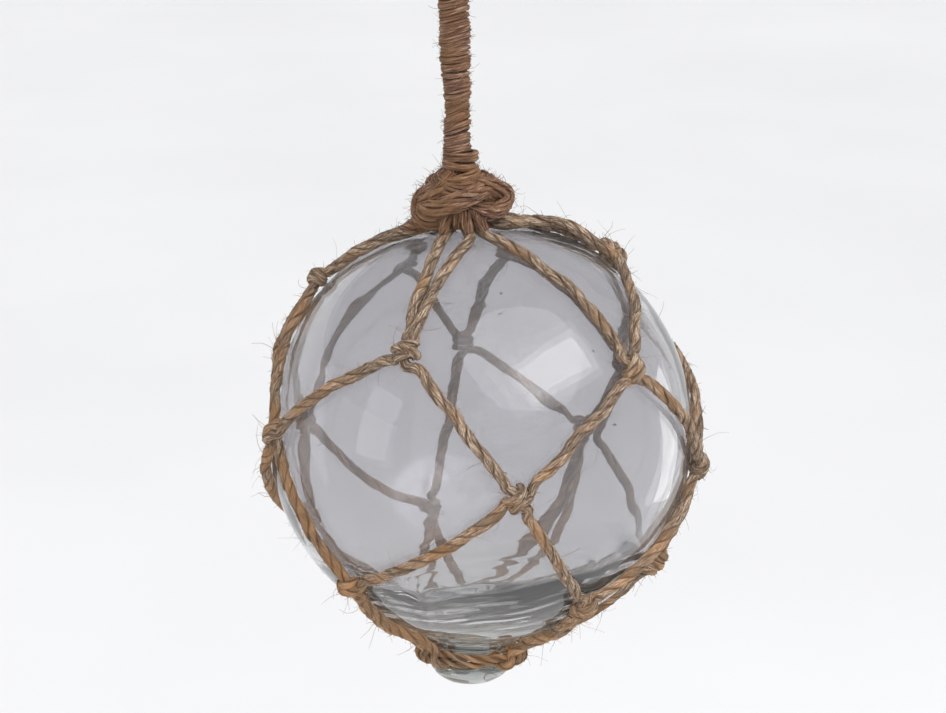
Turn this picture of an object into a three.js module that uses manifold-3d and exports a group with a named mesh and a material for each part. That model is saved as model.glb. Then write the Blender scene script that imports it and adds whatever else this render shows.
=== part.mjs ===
// A blown-glass float ball in a knotted twine net, hung by a served rope with an eye at its top.
// Millimetres, +Z up. The origin is where a hook bears: the underside of the eye's crown.
// +X is the ball's right side and -Y its front.

import * as THREE from 'three';
import { mergeVertices } from 'three/addons/utils/BufferGeometryUtils.js';
import Module from 'manifold-3d';

const wasm = await Module();
wasm.setup();

// ---------------------------------------------------------------- driving dimensions

const BALL_R = 75; // outer radius of the blown ball, a six-inch float
const GAP = 0.3; // clearance between pieces that touch
const TWINE_R = 1.95; // two-ply net twine, about 4 mm across
const RING_R = 2.3; // the drawn-up double twine round the seal
const SERVED_R = 5.3; // hanger rope over its serving
const EYE_ROPE_R = 2.6; // bare rope of the eye
const EYE_DROP = 36; // crown's underside to the throat of the eye
const SERVED_LENGTH = 76; // served rope, throat to collar
const COLLAR_TOP = 92.6; // collar's top above the ball's centre, along the collar's own axis

// The collar sits a little to the left of the ball's crown, so the ball hangs off to the right.
const COLLAR_SHIFT = new THREE.Vector3(-7, -2, 83.6);
const COLLAR_AXIS = COLLAR_SHIFT.clone().normalize();
const COLLAR_AT = new THREE.Vector3(1.2, 0, -EYE_DROP - SERVED_LENGTH - 2 * GAP);
const BALL_CENTRE = COLLAR_AT.clone().addScaledVector(COLLAR_AXIS, -COLLAR_TOP);

// The seal, where the blowpipe came off, hangs below and leans a little to the front left.
const SEAL_AXIS = new THREE.Vector3(-0.04, -0.14, -0.989).normalize();
const SEAL_HEIGHT = 93; // tip of the seal from the ball's centre
const SHOULDER_ANGLE = 22; // where the ball's round leaves off for the seal, from the seal's axis
const RING_HEIGHT = 81; // the ring sits in the neck above the seal's bulb
const RING_RADIUS = 15.9;

// Net knots by row, crown to seal: azimuth from +X, anticlockwise seen from above, and angle
// from straight up, in degrees. Hand-tied, so no two meshes are alike.
const KNOT_ROWS = [
  [[246, 51], [319, 60], [385, 41], [439, 49], [482, 49], [528, 48]],
  [[279, 86], [352, 97], [404, 85], [455, 86], [512, 98], [564, 82]],
  [[303, 124], [350, 126], [417, 108], [470, 134], [527, 122], [590, 118]],
];

// Where each top knot's two legs come out from under the collar, as azimuths round its axis.
const COLLAR_EXITS = [[243, 281], [306, 352], [8, 22], [70, 84], [112, 128], [160, 176]];

// The slack leg that is drawn aside over its neighbour's knot on its way to the collar.
const DRAWN_ASIDE = { knot: 1, side: 1, via: [[14, 25], [9, 38], [344, 45]] };

// Slack legs, which bow over the glass on the way from a knot down to its left neighbour.
const SLACK_LEGS = [
  { row: 0, knot: 2, via: [[37, 60], [26, 72], [4, 80]] },
  { row: 0, knot: 5, via: [[170, 70]] },
  { row: 1, knot: 2, via: [[50, 110]] },
];

// Where each bottom knot's two legs hook the ring, as azimuths round the seal.
const RING_STOPS = [[318, 336], [345, 20], [50, 75], [100, 130], [160, 198], [212, 228]];

// How finely the twine is faceted, and how far its chords are lifted to clear the glass.
const TWINE_SIDES = 5;
const LEG_STEPS = 5;
const SLACK_LEG_STEPS = 9;
const FACET_LIFT = 0.55;

// Route of the served rope from the collar's top to the eye's throat.
const HANGER_ROUTE = [
  [1.2, 0, -112],
  [0.5, -0.2, -104],
  [0.2, -0.1, -92],
  [0.6, 0.2, -76],
  [0.3, 0.1, -60],
  [-0.1, 0, -48],
  [0, 0, -36.3],
];

// ---------------------------------------------------------------- materials

const glass = new THREE.MeshStandardMaterial({ color: 0xd9dde0, roughness: 0.05, metalness: 0 });
const netJute = new THREE.MeshStandardMaterial({ color: 0x9c7248, roughness: 0.9, metalness: 0 });
const ringJute = new THREE.MeshStandardMaterial({ color: 0x946a43, roughness: 0.9, metalness: 0 });
const collarJute = new THREE.MeshStandardMaterial({ color: 0x93705a, roughness: 0.95, metalness: 0 });
const servedJute = new THREE.MeshStandardMaterial({ color: 0x8b6b52, roughness: 0.95, metalness: 0 });
const eyeJute = new THREE.MeshStandardMaterial({ color: 0x977552, roughness: 0.9, metalness: 0 });

// ---------------------------------------------------------------- solids

/** A closed geometry as a manifold solid. */
function solidOf(geometry) {
  geometry.deleteAttribute('normal');
  geometry.deleteAttribute('uv');
  const merged = mergeVertices(geometry, 1e-4);
  return new wasm.Manifold(new wasm.Mesh({
    numProp: 3,
    vertProperties: new Float32Array(merged.attributes.position.array),
    triVerts: new Uint32Array(merged.index.array),
  }));
}

/** A manifold solid back as a geometry. */
function geometryOf(solid) {
  const { vertProperties, triVerts } = solid.getMesh();
  const geometry = new THREE.BufferGeometry();
  geometry.setAttribute('position', new THREE.BufferAttribute(vertProperties, 3));
  geometry.setIndex(new THREE.BufferAttribute(triVerts, 1));
  geometry.computeVertexNormals();
  return geometry;
}

function joined(geometries) {
  return geometryOf(geometries.map(solidOf).reduce((sum, solid) => sum.add(solid)));
}

/** A regular section whose area is that of a round of this radius. */
function section(radius, sides) {
  const angle = (2 * Math.PI) / sides;
  const reach = radius * Math.sqrt(angle / Math.sin(angle));
  const corners = Array.from({ length: sides }, (_, i) => new THREE.Vector2(
    reach * Math.cos(i * angle),
    reach * Math.sin(i * angle),
  ));
  return new THREE.Shape(corners);
}

function tube(points, radius, sides, steps) {
  return new THREE.ExtrudeGeometry(section(radius, sides), {
    extrudePath: new THREE.CatmullRomCurve3(points, false, 'centripetal'),
    steps,
  });
}

// ---------------------------------------------------------------- directions on the ball

/** A direction at an azimuth and an angle from straight up, in degrees. */
function direction([azimuth, polar]) {
  const a = THREE.MathUtils.degToRad(azimuth);
  const p = THREE.MathUtils.degToRad(polar);
  return new THREE.Vector3(Math.sin(p) * Math.cos(a), Math.sin(p) * Math.sin(a), Math.cos(p));
}

/** The same round another axis, with +X kept as near as it can be to azimuth 0. */
function directionAbout(axis, azimuth, angle) {
  const east = new THREE.Vector3(1, 0, 0).addScaledVector(axis, -axis.x).normalize();
  const north = new THREE.Vector3(0, 1, 0).addScaledVector(axis, -axis.y);
  north.addScaledVector(east, -north.dot(east)).normalize();
  const a = THREE.MathUtils.degToRad(azimuth);
  const p = THREE.MathUtils.degToRad(angle);
  return axis.clone().multiplyScalar(Math.cos(p))
    .addScaledVector(east, Math.sin(p) * Math.cos(a))
    .addScaledVector(north, Math.sin(p) * Math.sin(a));
}

/** How far from the ball's centre twine lies in a direction: on the ball, or up the seal's shoulder. */
function twineHeight(dir) {
  const onBall = BALL_R + GAP + TWINE_R + FACET_LIFT;
  const angle = THREE.MathUtils.radToDeg(dir.angleTo(SEAL_AXIS));
  const ringAngle = THREE.MathUtils.radToDeg(Math.atan2(RING_RADIUS, RING_HEIGHT));
  const climb = Math.min(Math.max((SHOULDER_ANGLE - angle) / (SHOULDER_ANGLE - ringAngle), 0), 1);
  const ringHeight = Math.hypot(RING_RADIUS, RING_HEIGHT);
  return onBall + (ringHeight - onBall) * climb ** 1.2;
}

/** Points of a leg that runs the shortest way over the glass through each direction in turn. */
function overGlass(directions, perSpan) {
  const points = [];
  for (let i = 0; i + 1 < directions.length; i += 1) {
    const from = directions[i];
    const turn = new THREE.Quaternion().setFromUnitVectors(from, directions[i + 1]);
    for (let k = 0; k < perSpan; k += 1) {
      const part = new THREE.Quaternion().slerp(turn, k / perSpan);
      const dir = from.clone().applyQuaternion(part);
      points.push(dir.clone().multiplyScalar(twineHeight(dir)));
    }
  }
  const last = directions[directions.length - 1];
  points.push(last.clone().multiplyScalar(twineHeight(last)));
  return points;
}

// ---------------------------------------------------------------- glass

function glassBall() {
  const profile = [];
  const roundSteps = 15;
  const shoulder = THREE.MathUtils.degToRad(SHOULDER_ANGLE);
  for (let i = 0; i <= roundSteps; i += 1) {
    const angle = Math.PI - (i / roundSteps) * (Math.PI - shoulder);
    profile.push(new THREE.Vector2(BALL_R * Math.sin(angle), BALL_R * Math.cos(angle)));
  }
  profile[0].x = 0;
  // Shoulder, neck and bulb of the seal, as radius and height along its axis.
  const seal = [[22, 73.2], [17.5, 76], [14, 78.5], [13, 81], [13.2, 83.5], [14.2, 86], [13.2, 89], [9.8, 91.8]];
  seal.forEach(([radius, height]) => profile.push(new THREE.Vector2(radius, height)));
  profile.push(new THREE.Vector2(0, SEAL_HEIGHT));
  const geometry = new THREE.LatheGeometry(profile, 30);
  geometry.rotateX(Math.PI / 2); // the lathe turns about +Y; the seal's axis is now +Z
  const toSeal = new THREE.Quaternion().setFromUnitVectors(new THREE.Vector3(0, 0, 1), SEAL_AXIS);
  geometry.applyQuaternion(toSeal);
  return geometryOf(solidOf(geometry));
}

// ---------------------------------------------------------------- net

/** A knot: an oval lump of twine with a groove where one turn lies over the other, base to the glass. */
function knot(dir, spin) {
  const half = [[0, -3], [4, -2.2], [4.7, -0.5], [3.7, 0.9], [4, 2.1], [0, 3.5]];
  const lump = new THREE.LatheGeometry(half.map(([radius, height]) => new THREE.Vector2(radius, height)), 6);
  lump.rotateX(Math.PI / 2);
  lump.scale(1.1, 0.92, 1);
  lump.rotateZ(spin);
  lump.applyQuaternion(new THREE.Quaternion().setFromUnitVectors(new THREE.Vector3(0, 0, 1), dir));
  const lift = twineHeight(dir) - TWINE_R + 3.2;
  lump.translate(dir.x * lift, dir.y * lift, dir.z * lift);
  return lump;
}

/** Where the legs gather under the collar: a low boss that closes the net's crown. */
function crownBoss() {
  const low = BALL_R + GAP;
  const high = BALL_R + GAP + 2 * TWINE_R;
  const edge = 8.5;
  const boss = new THREE.LatheGeometry([
    new THREE.Vector2(0, low),
    new THREE.Vector2(edge, Math.sqrt(low ** 2 - edge ** 2) + 0.1),
    new THREE.Vector2(edge, Math.sqrt(high ** 2 - edge ** 2)),
    new THREE.Vector2(0, high),
  ], 16);
  boss.rotateX(Math.PI / 2);
  boss.applyQuaternion(new THREE.Quaternion().setFromUnitVectors(new THREE.Vector3(0, 0, 1), COLLAR_AXIS));
  return boss;
}

function leg(directions, perSpan, steps) {
  return tube(overGlass(directions, perSpan), TWINE_R, TWINE_SIDES, steps);
}

function net() {
  const rows = KNOT_ROWS.map((row) => row.map(direction));
  const pieces = [crownBoss()];

  // Under the collar, then down to the first row of knots.
  COLLAR_EXITS.forEach((exits, i) => exits.forEach((azimuth, side) => {
    const aside = DRAWN_ASIDE.knot === i && DRAWN_ASIDE.side === side;
    const via = aside ? DRAWN_ASIDE.via.map(direction) : [];
    const start = directionAbout(COLLAR_AXIS, azimuth, 5.5);
    const rim = directionAbout(COLLAR_AXIS, azimuth, 11);
    pieces.push(leg([start, rim, ...via, rows[0][i]], 3, aside ? 10 : LEG_STEPS));
  }));

  // Each knot's two legs go down to the knots half a mesh to either side.
  for (let row = 0; row + 1 < rows.length; row += 1) {
    rows[row].forEach((from, i) => {
      const left = rows[row + 1][(i + 5) % 6];
      const right = rows[row + 1][i];
      const slack = SLACK_LEGS.find((bowed) => bowed.row === row && bowed.knot === i);
      const toLeft = slack
        ? leg([from, ...slack.via.map(direction), left], 4, SLACK_LEG_STEPS)
        : leg([from, left], 6, LEG_STEPS);
      pieces.push(toLeft, leg([from, right], 6, LEG_STEPS));
    });
  }

  // The last legs run up the seal's shoulder and end against the ring that gathers them.
  const ringEdge = RING_RADIUS + RING_R + 2 * GAP;
  const hookAngle = THREE.MathUtils.radToDeg(Math.atan2(ringEdge, RING_HEIGHT - RING_R));
  RING_STOPS.forEach((stops, i) => stops.forEach((azimuth) => {
    const hook = directionAbout(SEAL_AXIS, azimuth, hookAngle);
    pieces.push(leg([rows[2][i], hook], 6, LEG_STEPS));
  }));

  rows.forEach((row, r) => row.forEach((dir, i) => {
    pieces.push(knot(dir, r + i * 1.7));
  }));
  return joined(pieces);
}

function bottomRing() {
  const ring = new THREE.TorusGeometry(RING_RADIUS, RING_R, 6, 20);
  ring.translate(0, 0, RING_HEIGHT);
  const toSeal = new THREE.Quaternion().setFromUnitVectors(new THREE.Vector3(0, 0, 1), SEAL_AXIS);
  ring.applyQuaternion(toSeal);
  return geometryOf(solidOf(ring));
}

// ---------------------------------------------------------------- collar and hanger

/** The rope's end, tied round the gathered net: wraps round the middle and a bight on each side. */
function collarKnot() {
  const twineTop = BALL_R + FACET_LIFT + 2 * TWINE_R * 1.1 + 2 * GAP;
  const profile = [new THREE.Vector2(0, twineTop)];
  for (const radius of [5, 10, 12.5]) {
    profile.push(new THREE.Vector2(radius, Math.sqrt(twineTop ** 2 - radius ** 2)));
  }
  profile.push(new THREE.Vector2(13.5, 82));
  profile.push(new THREE.Vector2(12, 87));
  profile.push(new THREE.Vector2(8.5, 90.6));
  profile.push(new THREE.Vector2(6, COLLAR_TOP));
  profile.push(new THREE.Vector2(0, COLLAR_TOP));
  const core = new THREE.LatheGeometry(profile, 14);
  core.rotateX(Math.PI / 2);

  const lowerWrap = new THREE.TorusGeometry(12.6, 2.9, 6, 14);
  lowerWrap.translate(0, 0, 82.8);
  const upperWrap = new THREE.TorusGeometry(10.6, 2.7, 6, 14);
  upperWrap.rotateY(0.12);
  upperWrap.translate(0.4, 0, 87.2);

  // Bights: [out from the axis, height, azimuth, lean]
  const bights = [[12.6, 85.2, 188, 0.35], [11.6, 86, 352, -0.25], [10.8, 86, 92, 0.2]].map(
    ([out, height, azimuth, lean]) => {
      const bight = new THREE.TorusGeometry(3.6, 2, 5, 8);
      bight.rotateX(Math.PI / 2 + lean);
      bight.translate(0, out, height);
      bight.rotateZ(THREE.MathUtils.degToRad(azimuth - 90));
      return bight;
    },
  );

  const pieces = [core, lowerWrap, upperWrap, ...bights];
  const upright = new THREE.Quaternion().setFromUnitVectors(new THREE.Vector3(0, 0, 1), COLLAR_AXIS);
  pieces.forEach((piece) => piece.applyQuaternion(upright));
  return joined(pieces);
}

function hangerRope() {
  const route = HANGER_ROUTE.map(([x, y, z]) => new THREE.Vector3(x, y, z));
  return geometryOf(solidOf(tube(route, SERVED_R, 10, 5)));
}

/** The eye: bare rope up one side, over the crown and down the other. */
function hangerEye() {
  const throat = EYE_ROPE_R + GAP / 2;
  const side = [[throat, -EYE_DROP], [throat, -33], [5.4, -27], [8.6, -20], [9.7, -12.5], [8.2, -5], [4.6, 0.6]];
  const points = [
    ...side.map(([x, z]) => new THREE.Vector3(-x, 0, z)),
    new THREE.Vector3(0, 0, EYE_ROPE_R),
    ...side.toReversed().map(([x, z]) => new THREE.Vector3(x, 0, z)),
  ];
  return geometryOf(solidOf(tube(points, EYE_ROPE_R, 8, 16)));
}

// ---------------------------------------------------------------- the float

function named(name, geometry, material) {
  const mesh = new THREE.Mesh(geometry, material);
  mesh.name = name;
  return mesh;
}

const float = new THREE.Group();

const nettedBall = new THREE.Group();
nettedBall.position.copy(BALL_CENTRE);
nettedBall.add(named('glass_ball', glassBall(), glass));
nettedBall.add(named('net', net(), netJute));
nettedBall.add(named('bottom_ring', bottomRing(), ringJute));
nettedBall.add(named('collar_knot', collarKnot(), collarJute));

const hanger = new THREE.Group();
hanger.add(named('hanger_rope', hangerRope(), servedJute));
hanger.add(named('hanger_eye', hangerEye(), eyeJute));

float.add(nettedBall, hanger);

export default float;
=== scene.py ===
"""A blown-glass float ball in a knotted jute net, hung by a served jute rope with an eye.

Metres, +Z up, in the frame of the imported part: the origin is where a hook bears, the underside of
the eye's crown; +X is the ball's right side and -Y its front. Sizes below are in millimetres and
become metres where a mesh is made.
"""

import random
from functools import partial
from math import acos, atan2, cos, degrees, hypot, pi, radians, sin, sqrt

import bpy
import numpy as np
from mathutils import Matrix, Vector, noise


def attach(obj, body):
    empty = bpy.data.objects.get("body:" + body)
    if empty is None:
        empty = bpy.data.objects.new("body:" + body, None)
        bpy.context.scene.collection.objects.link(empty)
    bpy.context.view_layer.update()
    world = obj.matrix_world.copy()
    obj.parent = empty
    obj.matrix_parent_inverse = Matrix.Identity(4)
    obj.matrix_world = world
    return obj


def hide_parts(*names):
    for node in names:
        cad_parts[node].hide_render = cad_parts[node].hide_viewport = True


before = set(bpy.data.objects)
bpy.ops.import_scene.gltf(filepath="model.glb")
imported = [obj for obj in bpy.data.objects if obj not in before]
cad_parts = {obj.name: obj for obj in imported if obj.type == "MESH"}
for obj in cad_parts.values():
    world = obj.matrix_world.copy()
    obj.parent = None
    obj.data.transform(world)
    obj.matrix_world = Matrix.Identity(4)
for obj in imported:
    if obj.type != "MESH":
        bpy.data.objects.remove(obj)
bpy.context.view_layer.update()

MM = 0.001

# ------- sizes, in mm, as the part has them

BALL_R = 75.0  # outer radius of the blown ball
TWINE_R = 1.95  # net twine, about 4 mm across
NET_PLIES = 3
SERVED_R = 5.3  # hanger rope over its serving
EYE_ROPE_R = 2.6
EYE_DROP = 36.0  # crown's underside to the throat of the eye
SERVED_LENGTH = 76.0  # throat to the collar's top
GAP = 0.3  # between two sub-parts that touch
COLLAR_TOP = 92.6  # from the ball's centre


def unit(v):
    return v / np.linalg.norm(v)


COLLAR_AXIS = unit(np.array([-7, -2, 83.6]))
COLLAR_AT = np.array([1.2, 0, -EYE_DROP - SERVED_LENGTH - 2 * GAP])
BALL_CENTRE = COLLAR_AT - COLLAR_TOP * COLLAR_AXIS
SEAL_AXIS = unit(np.array([-0.04, -0.14, -0.989]))

# Net knots by row, crown to seal: azimuth from +X, anticlockwise seen from above, and angle from
# straight up, in degrees.
KNOT_ROWS = [
    [(246, 51), (319, 60), (385, 41), (439, 49), (482, 49), (528, 48)],
    [(279, 86), (352, 97), (404, 85), (455, 86), (512, 98), (564, 82)],
    [(303, 124), (350, 126), (417, 108), (470, 134), (527, 122), (590, 118)],
]
KNOTS_IN_ROW = 6
# Azimuths at which each top knot's left and right twine leave the collar.
COLLAR_EXITS = [(243, 281), (306, 352), (8, 22), (70, 84), (112, 128), (160, 176)]
# One leg is drawn aside under the collar on its way to its knot.
DRAWN_ASIDE = {"knot": 1, "via": [(14, 25), (9, 38), (344, 45)]}
# Slack legs that bow over the glass from a knot, by row and place, to its left neighbour below.
SLACK_LEGS = {(0, 2): [(37, 60), (26, 72), (4, 80)], (0, 5): [(170, 70)], (1, 2): [(50, 110)]}
# Azimuths round the seal's axis at which each bottom knot's left and right leg reach the ring.
RING_STOPS = [(318, 336), (345, 20), (50, 75), (100, 130), (160, 198), (212, 228)]

# The hanger's middle, from the collar up to the throat of the eye.
HANGER_ROUTE = [
    (1.2, 0, -112), (0.5, -0.2, -104), (0.2, -0.1, -92), (0.6, 0.2, -76),
    (0.3, 0.1, -60), (-0.1, 0, -48), (0, 0, -36.3),
]

# ------- camera, stage and light

CAMERA_ELEVATION = radians(20)
CAMERA_DISTANCE = 0.95
CAMERA_LENS = 101.9  # mm, on the default 36 mm sensor
AIM_LEFT = 2.5  # mm, from the ball's centre
AIM_UP = 25.7  # mm, along the picture's upright
FLOOR_DROP = 0.75  # metres, the floor below the hook


def aimed(obj, place, target):
    """Turns a camera or light at a place so that it looks at a target."""
    obj.location = place
    obj.rotation_mode = "QUATERNION"
    obj.rotation_quaternion = (Vector(target) - Vector(place)).to_track_quat("-Z", "Y")


towards = Vector((0, -cos(CAMERA_ELEVATION), sin(CAMERA_ELEVATION)))
upright = Vector((0, sin(CAMERA_ELEVATION), cos(CAMERA_ELEVATION)))
centre = Vector(BALL_CENTRE) * MM
aim = centre + Vector((-AIM_LEFT * MM, 0, 0)) + upright * AIM_UP * MM
bpy.ops.object.camera_add()
camera = bpy.context.object
camera.name = "camera"
camera.data.lens = CAMERA_LENS
aimed(camera, aim + towards * CAMERA_DISTANCE, aim)
bpy.context.scene.camera = camera


def softbox(name, bearing, distance, width, height, watts, tint=(1, 1, 1)):
    """A rectangular softbox that faces the ball from a bearing."""
    place = centre + Vector(bearing).normalized() * distance
    bpy.ops.object.light_add(type="AREA")
    lamp = bpy.context.object
    lamp.name = name
    lamp.data.shape = "RECTANGLE"
    lamp.data.size = width
    lamp.data.size_y = height
    lamp.data.energy = watts
    lamp.data.color = tint
    aimed(lamp, place, centre)
    return lamp


softbox("key_window", (0.59, -0.40, 0.70), 1.25, 0.85, 0.34, 1.5)
softbox("key_window_edges", (0.60, -0.39, 0.70), 1.32, 1.10, 0.52, 1.9)
softbox("key_window_glow", (0.56, -0.42, 0.71), 1.40, 1.50, 0.78, 1.5)
softbox("right_rim", (0.85, 0.45, -0.30), 1.1, 0.32, 0.9, 1.5)
softbox("left_fill", (-0.9, -0.55, 0.25), 1.6, 0.5, 0.9, 1.5, (0.93, 0.95, 1.0))

# A broad, even light for floor and float, and a fill from the front. Neither shows in the glass.
bpy.ops.object.light_add(type="SUN")
daylight = bpy.context.object
daylight.name = "even_daylight"
daylight.data.energy = 1.9
daylight.data.angle = radians(60)
aimed(daylight, (0.6, -0.7, 1.6), (0, 0, 0))
front_fill = softbox("front_fill", (-0.35, -0.93, 0.25), 2.4, 1.8, 1.8, 11)
for lamp in (daylight, front_fill):
    lamp.visible_glossy = False

world = bpy.data.worlds.new("studio")
bpy.context.scene.world = world
world.use_nodes = True
backdrop = world.node_tree.nodes["Background"].inputs
backdrop["Color"].default_value = (0.80, 0.81, 0.84, 1)
backdrop["Strength"].default_value = 0.5
bpy.context.scene.view_settings.view_transform = "Standard"

# ------- materials


def linear(code):
    """An sRGB hex colour as linear RGBA."""
    parts = [int(code[i : i + 2], 16) / 255 for i in (1, 3, 5)]
    curve = [c / 12.92 if c <= 0.04045 else ((c + 0.055) / 1.055) ** 2.4 for c in parts]
    return (*curve, 1.0)


def add_node(tree, kind, values=None, links=None, stops=None, **settings):
    """Adds a node with its settings, values, linked inputs and, on a ramp, its colour stops."""
    node = tree.nodes.new("ShaderNode" + kind)
    for name, value in settings.items():
        setattr(node, name, value)
    for name, value in (values or {}).items():
        node.inputs[name].default_value = value
    for name, (source, output) in (links or {}).items():
        tree.links.new(source.outputs[output], node.inputs[name])
    if stops:
        elements = node.color_ramp.elements
        while len(elements) < len(stops):
            elements.new(0.5)
        for element, (position, colour) in zip(elements, stops):
            element.position = position
            element.color = colour
    return node


def new_material(name):
    """An empty node material, and add_node for its tree."""
    material = bpy.data.materials.new(name)
    material.use_nodes = True
    material.node_tree.nodes.clear()
    return material, partial(add_node, material.node_tree)


FIBRE_LENGTH = 5.0  # mm; jute strands run on for this long before their shade changes
FIBRE_WIDTH = 0.46  # mm; real fibres are 0.05 mm, drawn coarser so that they show
PATCH_SIZE = 16.0  # mm; stretches of yarn that are greyer or more golden
PATCH_BLEND = 55.0  # mm on each side of patch_from over which one shade gives way to the other


def jute(name, shades, patch, patch_share, groove_shade, groove_shade_depth, patch_way=(0, 0, 0), patch_from=0):
    """Twisted jute yarn: dull, hairy and streaked along its fibres, with a painted shade, and some
    dirt, darkening it where it faces its other plies. shades run from the darkest fibre to the palest.
    The patches of another shade gather in one direction, patch_way, past a distance of patch_from mm."""
    material, add = new_material(name)
    lay = add("Attribute", attribute_name="lay")
    scale = (1 / (FIBRE_LENGTH * MM), 1 / (FIBRE_WIDTH * MM), 1 / (FIBRE_WIDTH * MM))
    stretched = add("Mapping", {"Scale": scale}, {"Vector": (lay, "Vector")})
    fibres = add(
        "TexNoise",
        {"Scale": 1.0, "Detail": 3.0, "Roughness": 0.62, "Distortion": 0.15},
        {"Vector": (stretched, "Vector")},
    )
    levels = np.linspace(0.37, 0.64, len(shades))
    streaks = add(
        "ValToRGB",
        links={"Fac": (fibres, "Fac")},
        stops=[(level, linear(shade)) for level, shade in zip(levels, shades)],
    )
    place = add("TexCoord")
    patches = add(
        "TexNoise",
        {"Scale": 1 / (PATCH_SIZE * MM), "Detail": 2.0, "Roughness": 0.5},
        {"Vector": (place, "Object")},
    )
    sided = add("VectorMath", {1: tuple(patch_way)}, {0: (place, "Object")}, operation="DOT_PRODUCT")
    sided_level = add(
        "MapRange",
        {
            "From Min": (patch_from - PATCH_BLEND) * MM,
            "From Max": (patch_from + PATCH_BLEND) * MM,
            "To Min": -0.16, "To Max": 0.2,
        },
        {"Value": (sided, "Value")},
    )
    gathered_patches = add(
        "Math", links={0: (patches, "Fac"), 1: (sided_level, "Result")}, operation="ADD"
    )
    patch_level = add(
        "MapRange",
        {"From Min": 0.38, "From Max": 0.66, "To Max": patch_share},
        {"Value": (gathered_patches, "Value")},
    )
    patched = add(
        "Mix", {7: linear(patch)}, {0: (patch_level, "Result"), 6: (streaks, "Color")}, data_type="RGBA"
    )
    # Each strand has weathered to its own tone.
    tone = add("Attribute", attribute_name="tone")
    tone_shade = add(
        "ValToRGB",
        links={"Fac": (tone, "Fac")},
        stops=[(0.0, (0.62, 0.62, 0.62, 1)), (1.0, (1.06, 1.06, 1.06, 1))],
    )
    toned = add(
        "Mix",
        {0: 1.0},
        {6: (patched, 2), 7: (tone_shade, "Color")},
        data_type="RGBA", blend_type="MULTIPLY",
    )
    # Painted shade: towards the groove colour where the yarn faces its other plies, for the shade that
    # falls between them (with some dirt).
    facing = add("Attribute", attribute_name="groove_shade")
    groove_shade_level = add(
        "MapRange",
        {"From Min": 0.12, "From Max": 0.45, "To Max": groove_shade_depth},
        {"Value": (facing, "Fac")},
        interpolation_type="SMOOTHSTEP",
    )
    shaded = add(
        "Mix", {7: linear(groove_shade)}, {0: (groove_shade_level, "Result"), 6: (toned, 2)}, data_type="RGBA"
    )
    dullness = add(
        "MapRange",
        {"From Min": 0.3, "From Max": 0.7, "To Min": 0.95, "To Max": 0.72},
        {"Value": (fibres, "Fac")},
    )
    relief = add("Bump", {"Strength": 0.75, "Distance": 0.22 * MM}, {"Height": (fibres, "Fac")})
    shader = add(
        "BsdfPrincipled",
        {
            "IOR": 1.5, "Specular IOR Level": 0.25, "Sheen Weight": 0.22, "Sheen Roughness": 0.5,
            "Sheen Tint": linear("#D8C2A4"),
        },
        {"Base Color": (shaded, 2), "Roughness": (dullness, "Result"), "Normal": (relief, "Normal")},
    )
    add("OutputMaterial", links={"Surface": (shader, "BSDF")})
    return material


# Each yarn's groove colour and depth below are painted shade between its plies.
net_jute = jute(
    "golden_jute_twine",
    ["#4A3930", "#846E5C", "#9F8974", "#CDBBA7"],
    patch="#A97F57", patch_share=0.75, groove_shade="#3F2C20", groove_shade_depth=0.5,
    patch_way=(-0.55, 0, -0.83), patch_from=190,
)
hanger_jute = jute(
    "weathered_jute_rope",
    ["#412925", "#725245", "#8F6C58", "#BB9D84"],
    patch="#8A6645", patch_share=0.7, groove_shade="#33201E", groove_shade_depth=0.6,
)
eye_jute = jute(
    "three_ply_jute_rope",
    ["#54361F", "#80583A", "#9C7150", "#BC9871"],
    patch="#8A6D54", patch_share=0.7, groove_shade="#33210F", groove_shade_depth=0.6,
)


def blown_glass():
    """Soda-lime glass, blown and fire polished: clear and very smooth, faintly wavy from the
    blowing, a trace of grey lilac, turning faintly green where it is thick round the seal."""
    material, add = new_material("blown_soda_lime_glass")
    place = add("TexCoord")
    # Height along the seal's axis from the ball's centre, as 0 on the ball and 1 at the seal.
    turned = add(
        "VectorMath", {1: tuple(Vector(BALL_CENTRE) * MM)}, {0: (place, "Object")}, operation="SUBTRACT"
    )
    along = add(
        "VectorMath", {1: tuple(Vector(SEAL_AXIS))}, {0: (turned, "Vector")}, operation="DOT_PRODUCT"
    )
    near_seal = add(
        "MapRange",
        {"From Min": 45 * MM, "From Max": 95 * MM},
        {"Value": (along, "Value")},
        interpolation_type="SMOOTHSTEP",
    )
    tint = add(
        "ValToRGB",
        links={"Fac": (near_seal, "Result")},
        stops=[
            (0.0, linear("#DBDADD")),
            (0.45, linear("#E4E3E0")),
            (0.80, linear("#D4D7D3")),
            (1.0, linear("#C0C4C3")),
        ],
    )
    waves = add(
        "TexNoise",
        {"Scale": 1 / (22 * MM), "Detail": 1.0, "Roughness": 0.4, "Distortion": 0.6},
        {"Vector": (place, "Object")},
    )
    relief = add("Bump", {"Strength": 0.35, "Distance": 0.5 * MM}, {"Height": (waves, "Fac")})
    shader = add(
        "BsdfPrincipled",
        {"Transmission Weight": 0.96, "Roughness": 0.0, "IOR": 1.5, "Metallic": 0.0},
        {"Base Color": (tint, "Color"), "Normal": (relief, "Normal")},
    )
    depth = add("VolumeAbsorption", {"Color": linear("#E7E8E6"), "Density": 48.0})
    add("OutputMaterial", links={"Surface": (shader, "BSDF"), "Volume": (depth, "Volume")})
    return material


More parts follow.
